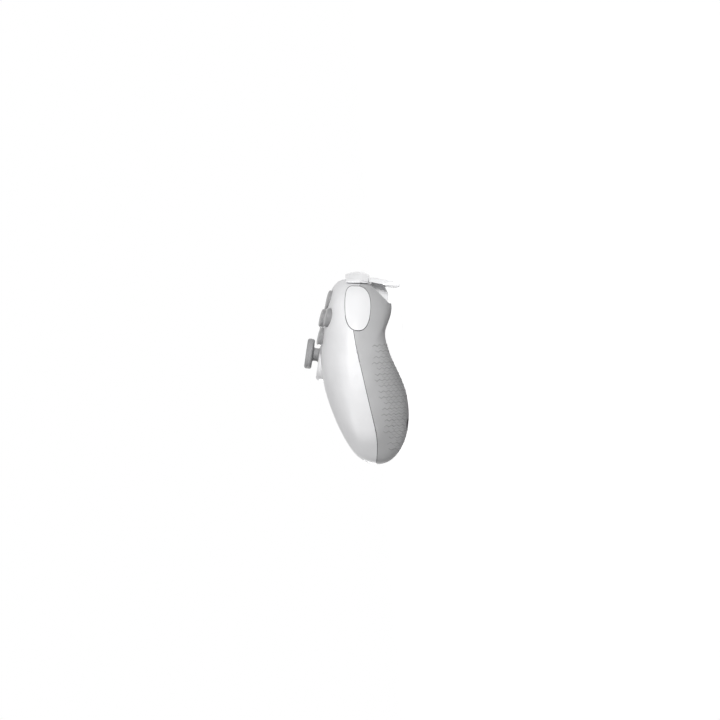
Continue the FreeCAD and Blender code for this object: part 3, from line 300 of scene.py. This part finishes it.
def board_lacquer(name, colour):
    """Green lacquer over copper tracks, drawn by a brick pattern."""
    n = Nodes(name)
    tracks = n.add("ShaderNodeTexBrick", Scale=TRACKS)
    tracks.inputs["Mortar Size"].default_value = TRACK_GAP
    for socket, factor in (("Color1", 1.0), ("Color2", 0.86), ("Mortar", 1.9)):
        tracks.inputs[socket].default_value = (*shade(colour, factor), 1.0)
    n.link(n.place, tracks.inputs["Vector"])
    n.feed(tracks.outputs["Color"], "Base Color")
    n.feed(n.bump(tracks.outputs["Fac"], TRACK_HEIGHT_MM), "Normal")
    n.feed(n.spread(n.noise(6.0), 0.22, 0.34), "Roughness")
    return n.material


def diffuser(name):
    """Milky clear bar."""
    n = Nodes(name)
    n.feed(n.ramp(n.noise(3.0, 3.0), [(0.35, MILKY_DARK), (0.65, MILKY_LIGHT)]), "Base Color")
    n.feed(n.spread(n.noise(1.0), 0.14, 0.24), "Roughness")
    n.feed(n.bump(n.noise(0.8), 0.004), "Normal")
    n.fix("Transmission Weight", 0.25)
    return n.material


def make_materials():
    return {
        "white_plastic": plastic("front_white", FRONT_WHITE, 0.42),
        "grey_plastic": plastic("rear_grey", REAR_GREY, 0.55, 0.35, 0.012, 0.05, shine=0.25),
        "gloss_white": plastic("gloss_white", GLOSS_WHITE, 0.2, 0.6, 0.002, 0.02, 0.3, 0.4),
        "pad_grey": plastic("pad_grey", PAD_GREY, 0.5, 0.3, 0.014, 0.03),
        "button_grey": plastic("button_grey", BUTTON_GREY, 0.36, 0.3, 0.004, 0.05, 0.2),
        "cap_rubber": soft_rubber("cap_rubber", CAP_GREY, 0.62),
        "light_diffuser": diffuser("light_diffuser"),
        "inner_black": plastic("inner_black", INNER_BLACK, 0.5),
        "sensor_green": plastic("sensor_green", SENSOR_GREEN, 0.45),
        "silicone": soft_rubber("silicone", SILICONE_GREY, 0.55),
        "board_green": board_lacquer("board_green", BOARD_GREEN),
        "chip_black": plastic("chip_black", CHIP_BLACK, 0.55, 0.2, 0.01),
        "bright_steel": metal("bright_steel", BRIGHT_STEEL, 0.3),
        "spring_steel": metal("spring_steel", SPRING_STEEL, 0.34, EVEN),
        "brass_weight": metal("brass_weight", WEIGHT_BRASS, 0.42, EVEN),
        "battery_wrap": plastic("battery_wrap", BATTERY_BLUE, 0.3, 1.2, 0.01, 0.06, 0.3),
    }


def dress_nodes(materials):
    """Every CAD node gets the material of its slot in the record."""
    for entry in frame["record"]["subparts"]:
        node = NODES[entry["node"]]
        node.data.materials.clear()
        node.data.materials.append(materials[entry["material_slot"]])


# New pieces

def new_piece(mesh, material, body):
    """Piece of one material, named as its mesh, that rides on a body."""
    mesh.materials.append(material)
    piece = bpy.data.objects.new(mesh.name, mesh)
    bpy.context.scene.collection.objects.link(piece)
    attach(piece, body)


def facing_out(mesh):
    """Turn the mesh's faces outward."""
    bm = bmesh.new()
    bm.from_mesh(mesh)
    bmesh.ops.recalc_face_normals(bm, faces=bm.faces)
    bm.to_mesh(mesh)
    bm.free()


def ring_mesh(name, rings, closed=False, capped=False):
    """Mesh through the rings, which may run back to the first one or end in a face."""
    count, size = len(rings), len(rings[0])
    faces = []
    for i in range(count if closed else count - 1):
        after = (i + 1) % count
        for j in range(size):
            k = (j + 1) % size
            faces.append((size * i + j, size * i + k, size * after + k, size * after + j))
    if capped:
        faces.append(tuple(range(size)))
        faces.append(tuple(reversed(range(size * (count - 1), size * count))))
    mesh = bpy.data.meshes.new(name)
    mesh.from_pydata([place for ring in rings for place in ring], [], faces)
    facing_out(mesh)
    return mesh


# Places on the CAD nodes

def interpolated(points, key):
    """Value at the key, on straight lines between the points."""
    points = sorted(points)
    if key <= points[0][0]:
        return points[0][1]
    for (a, va), (b, vb) in zip(points, points[1:]):
        if key <= b:
            return va + (vb - va) * (key - a) / (b - a)
    return points[-1][1]


@functools.lru_cache(maxsize=None)
def node_tree(name):
    mesh = NODES[name].data
    return BVHTree.FromPolygons([v.co for v in mesh.vertices], [p.vertices for p in mesh.polygons])


def side_hit(name, y, z, side):
    """Point and normal where a line from the side meets the node, or None twice."""
    start = Vector((side * SIDE_START, y, z))
    return node_tree(name).ray_cast(start, Vector((-side, 0.0, 0.0)))[:2]


def first_hit(y, z, side):
    """Cover that a line from the side meets first at y, z, and the distance from the middle."""
    best = (None, 0.0)
    for name in ("front_cover", "rear_cover"):
        point = side_hit(name, y, z, side)[0]
        if point is not None and point.x * side > best[1]:
            best = (name, point.x * side)
    return best


def grip_centre(y_mm, side):
    """Middle of the grip at this Y, as seen along Y."""
    x_mm = GRIP_X_MM + GRIP_LEAN * (GRIP_TOP_Y_MM - y_mm)
    return Vector((side * x_mm, y_mm, GRIP_Z_MM)) * MM


def surface_point(tree, y_mm, angle, side):
    """Point and normal on the rear cover, seen from outside towards the middle of the grip."""
    centre = grip_centre(y_mm, side)
    way = Vector((side * math.cos(angle), 0.0, math.sin(angle)))
    point, normal, _, _ = tree.ray_cast(centre + way * GRIP_START, -way)
    if point is None or (point - centre).length < GRIP_LEAST_MM * MM:
        return None
    return point, (normal if normal.dot(way) > 0 else -normal)


# Grip texture

def ridge_run(bm, samples, share):
    """One zigzag ridge through points with normals: two flanks that end in the surface."""
    rails = []
    last = len(samples) - 1
    for i, (point, normal) in enumerate(samples):
        before = samples[max(i - 1, 0)][0]
        after = samples[min(i + 1, last)][0]
        across = normal.cross(after - before)
        if across.length < NO_LENGTH:
            continue
        across.normalize()
        end = RIDGE_END_SHARE if i in (0, last) else 1.0
        foot = point - normal * RIDGE_FOOT_MM * MM
        top = point + normal * RIDGE_HEIGHT_MM * MM * end * share
        half = across * RIDGE_HALF_MM * MM * share
        crest = across * RIDGE_CREST_MM * MM * share
        section = (foot - half, top - crest, top + crest, foot + half)
        rails.append([bm.verts.new(place) for place in section])
    for a, b in zip(rails, rails[1:]):
        for k in range(3):
            bm.faces.new((a[k], b[k], b[k + 1], a[k + 1]))
        bm.faces.new((a[3], b[3], b[0], a[0]))
    if len(rails) > 1:
        bm.faces.new(rails[0])
        bm.faces.new(rails[-1][::-1])


def textured(point, margin_mm):
    """Whether the point lies off the floor in the textured field, drawn back by its row's margin."""
    edge = interpolated(TEXTURE_EDGE_MM, point.y / MM) - margin_mm
    if abs(point.x) < INNER_SIDE_X_MM * MM:
        edge -= PARTING_MARGIN_MM
    return REST_CLEAR_MM * MM < point.z < edge * MM


def row_samples(tree, y_mm, side, phase):
    """Zigzag of surface points, or gaps, from the outer side round the back to the inner side.

    The zigzag is stretched round the back, so that it looks even from the side.
    """
    angle, last_angle = (math.radians(turn) for turn in TEXTURE_TURN_DEG)
    step = phase
    while angle > last_angle:
        swing = WAVE_SWING_MM if step % 2 else -WAVE_SWING_MM
        found = surface_point(tree, y_mm + swing, angle, side)
        radius = (found[0] - grip_centre(y_mm, side)).length if found else GRIP_RADIUS_MM * MM
        facing = max(STRETCH_LIMIT, abs(found[1].x)) if found else 1.0
        angle -= WAVE_MM / 2 * MM / radius / facing
        step += 1
        yield found


def textured_runs(row, side):
    """Unbroken runs of samples of one row that lie in the textured field."""
    y_mm = TEXTURE_Y_MM[0] - row * ROW_PITCH_MM / 2
    between = row % 2
    margin = ROW_STAGGER_MM * (row // 2 * 2 % 3) + between * BETWEEN_BACK_MM
    run = []
    for found in row_samples(node_tree("rear_cover"), y_mm, side, between):
        if found and textured(found[0], margin):
            run.append(found)
            continue
        yield run
        run = []
    yield run


def grip_texture(name, side, material):
    """Rows of zigzag ridges round the back of one grip, with fainter rows between them."""
    bm = bmesh.new()
    rows = int((TEXTURE_Y_MM[0] - TEXTURE_Y_MM[1]) / ROW_PITCH_MM * 2) + 1
    for row in range(rows):
        share = BETWEEN_SHARE if row % 2 else 1.0
        for run in textured_runs(row, side):
            if len(run) > 2:
                ridge_run(bm, run, share)
    mesh = bpy.data.meshes.new("grip_texture_" + name)
    bm.to_mesh(mesh)
    bm.free()
    facing_out(mesh)
    new_piece(mesh, material, "casing")


# Painted shade in the joint of the covers

def last_height(name, y, inside, outside, side):
    """Height between the two at which the line from the side stops meeting the named cover."""
    for _ in range(HEIGHT_HALVINGS):
        middle = (inside + outside) / 2
        if first_hit(y, middle, side)[0] == name:
            inside = middle
        else:
            outside = middle
    return inside


def joint_shade_strip(name, side, material):
    """Thin dark strip between the two covers, set back from their faces: painted shade in the joint."""
    rings = []
    steps = int((SHADE_STRIP_Y_MM[0] - SHADE_STRIP_Y_MM[1]) / SHADE_STRIP_STEP_MM)
    for step in range(steps + 1):
        y = (SHADE_STRIP_Y_MM[0] - step * SHADE_STRIP_STEP_MM) * MM
        low = last_height("rear_cover", y, SHADE_STRIP_SEARCH_MM[0] * MM, SHADE_STRIP_SEARCH_MM[1] * MM, side)
        high = last_height("front_cover", y, low + GROOVE_REACH_MM * MM, low, side)
        below = first_hit(y, low - GROOVE_PAST_MM * MM, side)[1]
        above = first_hit(y, high + GROOVE_PAST_MM * MM, side)[1]
        if high - low > GROOVE_MOST_MM * MM or min(below, above) < GROOVE_LEAST_X:
            continue
        outer = min(below, above) - SHADE_STRIP_BACK_MM * MM
        inner = outer - SHADE_STRIP_DEPTH_MM * MM
        section = ((outer, low), (outer, high), (inner, high), (inner, low))
        rings.append([(side * x, y, z) for x, z in section])
    new_piece(ring_mesh("joint_shade_strip_" + name, rings), material, "casing")


# Shadow line round a side cap

def cap_spot(angle, distance_mm):
    """Y and Z this far from the cap's middle, in this direction as seen from the side."""
    way = (math.cos(angle), math.sin(angle))
    return [(CAP_MIDDLE_MM[k] + way[k] * distance_mm) * MM for k in (0, 1)]


def cap_reach(angle, name, side):
    """Distance from the cap's middle to its edge, in this direction as seen from the side."""
    inside, outside = CAP_SEARCH_MM
    for _ in range(CAP_HALVINGS):
        middle = (inside + outside) / 2
        if side_hit("side_cap_" + name, *cap_spot(angle, middle), side)[0] is None:
            outside = middle
        else:
            inside = middle
    return inside


def cap_line(name, side, material):
    """Thin dark line in the seat round the side cap."""
    rings = []
    for step in range(CAP_LINE_STEPS):
        angle = math.tau * step / CAP_LINE_STEPS
        reach = cap_reach(angle, name, side)
        level = first_hit(*cap_spot(angle, reach + CAP_LINE_LOOK_MM), side)[1]
        low = level - CAP_LINE_DEPTH_MM * MM
        high = level + CAP_LINE_RISE_MM * MM
        inner = cap_spot(angle, reach)
        outer = cap_spot(angle, reach + CAP_LINE_WIDTH_MM)
        section = ((low, *inner), (high, *inner), (high, *outer), (low, *outer))
        rings.append([(side * x, y, z) for x, y, z in section])
    mesh = ring_mesh("cap_line_" + name, rings, closed=True)
    new_piece(mesh, material, "casing")


# Lip that carries a bumper's outer end down over the covers

def cover_slope(y, z, side):
    """Distance from the middle and sideways slope of the cover that shows at y, z."""
    name, reach = first_hit(y, z, side)
    normal = side_hit(name, y, z, side)[1]
    return reach, max(LEAST_SLOPE, abs(normal.x))


def lip_ring(name, z, side):
    """Section of the lip at this height, from the bumper round its edge and back up inside."""
    back = interpolated(BAR_BACK_MM, z)
    drop = interpolated(LIP_DROP_MM, z)
    bar = side_hit("bumper_" + name, (back + LIP_ROOT_MM) * MM, z * MM, side)[0].x * side
    cover, slope = cover_slope((back - drop) * MM, z * MM, side)
    inner = cover + LIP_CLEAR_MM * MM / slope
    edge = inner + LIP_EDGE_MM * MM
    top = min(inner - LIP_SLANT * (LIP_ROOT_MM + drop) * MM, bar - LIP_EDGE_MM * MM)
    ring = []
    for step in range(LIP_STEPS + 1):
        share = step / LIP_STEPS
        y = back + LIP_ROOT_MM - share * (LIP_ROOT_MM + drop)
        ring.append((bar + (edge - bar) * (1 - (1 - share) ** LIP_ROUND), y * MM, z * MM))
    ring.append((inner, (back - drop) * MM, z * MM))
    ring.append((top, (back + LIP_ROOT_MM) * MM, z * MM))
    return [(side * x, y, z) for x, y, z in ring]


def bumper_lip(name, side, material):
    """Rounded lip below the bumper's flat back, clear of the covers as the bumper is pressed."""
    low, high = LIP_Z_MM
    heights = [low + (high - low) * row / LIP_ROWS for row in range(LIP_ROWS + 1)]
    mesh = ring_mesh("bumper_lip_" + name, [lip_ring(name, z, side) for z in heights], capped=True)
    mesh.shade_smooth()
    mesh.set_sharp_from_angle(angle=math.radians(LIP_SHARP_DEG))
    new_piece(mesh, material, "bumper_" + name)


# Floor, light and camera

def lamp(name, place, aim, power):
    data = bpy.data.lights.new(name, "AREA")
    data.shape = "RECTANGLE"
    data.size, data.size_y = LAMP_SIZE
    data.energy = power
    light = bpy.data.objects.new(name, data)
    light.location = place
    light.rotation_euler = (Vector(aim) - Vector(place)).to_track_quat("-Z", "Y").to_euler()
    bpy.context.scene.collection.objects.link(light)


def seen_directly(tree):
    """1 for camera, glossy and transmission rays, 0 for the light that bounces."""
    path = tree.nodes.new("ShaderNodeLightPath")
    total = path.outputs["Is Camera Ray"]
    for name in ("Is Glossy Ray", "Is Transmission Ray"):
        either = tree.nodes.new("ShaderNodeMath")
        either.operation = "MAXIMUM"
        tree.links.new(total, either.inputs[0])
        tree.links.new(path.outputs[name], either.inputs[1])
        total = either.outputs["Value"]
    return total


def seen_and_lit(tree, output, seen, lighting):
    """Show one shader to the camera and in reflections, and let the other one light the object."""
    out = tree.nodes.new(output)
    mix = tree.nodes.new("ShaderNodeMixShader")
    tree.links.new(seen_directly(tree), mix.inputs["Fac"])
    tree.links.new(lighting, mix.inputs[1])
    tree.links.new(seen, mix.inputs[2])
    tree.links.new(mix.outputs["Shader"], out.inputs["Surface"])


def shader(tree, kind, strength=None, colour=None):
    """Shader node with its strength and colour set, where given."""
    node = tree.nodes.new(kind)
    if strength is not None:
        node.inputs["Strength"].default_value = strength
    if colour is not None:
        node.inputs["Color"].default_value = (*colour, 1.0)
    return node.outputs[0]


def white_backdrop():
    """World that lights softly and shows as white to the camera and in reflections."""
    world = bpy.data.worlds.new("studio")
    bpy.context.scene.world = world
    world.use_nodes = True
    tree = world.node_tree
    tree.nodes.clear()
    white = (1.0, 1.0, 1.0)
    light = shader(tree, "ShaderNodeBackground", WORLD_LIGHT, white)
    seen = shader(tree, "ShaderNodeBackground", 1.0, white)
    seen_and_lit(tree, "ShaderNodeOutputWorld", seen, light)


def floor():
    """Plain pale floor that keeps the object's shadow."""
    level = CAD_BOX[0][2]
    corners = [(-1, -1), (1, -1), (1, 1), (-1, 1)]
    mesh = bpy.data.meshes.new("floor")
    mesh.from_pydata([(x * FLOOR_REACH, y * FLOOR_REACH, level) for x, y in corners], [], [(0, 1, 2, 3)])
    plane = bpy.data.objects.new("floor", mesh)
    bpy.context.scene.collection.objects.link(plane)
    material = bpy.data.materials.new("floor_pale")
    material.use_nodes = True
    tree = material.node_tree
    tree.nodes.clear()
    lit = tree.nodes.new("ShaderNodeAddShader")
    tree.links.new(shader(tree, "ShaderNodeBsdfDiffuse", colour=FLOOR_SHOWN), lit.inputs[0])
    tree.links.new(shader(tree, "ShaderNodeEmission", strength=FLOOR_GLOW), lit.inputs[1])
    bounce = shader(tree, "ShaderNodeBsdfDiffuse", colour=FLOOR_BOUNCE)
    seen_and_lit(tree, "ShaderNodeOutputMaterial", lit.outputs["Shader"], bounce)
    mesh.materials.append(material)


def camera():
    data = bpy.data.cameras.new("photo_camera")
    data.sensor_width = SENSOR_MM
    data.lens = SENSOR_MM * CAMERA_DISTANCE / (PHOTO_PIXELS / PIXELS_PER_MM * MM)
    data.clip_start = CAMERA_NEAR
    data.clip_end = CAMERA_FAR
    cam = bpy.data.objects.new("photo_camera", data)
    right = Vector((0.0, -math.sin(CAMERA_ROLL), -math.cos(CAMERA_ROLL)))
    up = Vector((0.0, math.cos(CAMERA_ROLL), -math.sin(CAMERA_ROLL)))
    back = right.cross(up)
    place = Vector(CAMERA_AIM_MM) * MM + back * CAMERA_DISTANCE
    turn = Matrix((right, up, back)).transposed().to_4x4()
    cam.matrix_world = Matrix.Translation(place) @ turn
    bpy.context.scene.collection.objects.link(cam)
    bpy.context.scene.camera = cam


def main():
    materials = make_materials()
    dress_nodes(materials)
    for name, side in SIDES.items():
        # the ridges are real geometry, and their darker copy of the rear grey is painted shade
        grip_texture(name, side, plastic("ridge_painted_shade_" + name, RIDGE_PAINTED_SHADE, 0.55))
        # dark strip in the cover joint: painted shade standing in for the joint's shade
        joint_shade_strip(name, side, materials["inner_black"])
        cap_line(name, side, materials["inner_black"])
        bumper_lip(name, side, materials["gloss_white"])
    white_backdrop()
    for name, (place, aim, power) in LAMPS.items():
        lamp(name, place, aim, power)
    floor()
    camera()
    bpy.context.scene.view_settings.view_transform = "Standard"


main()
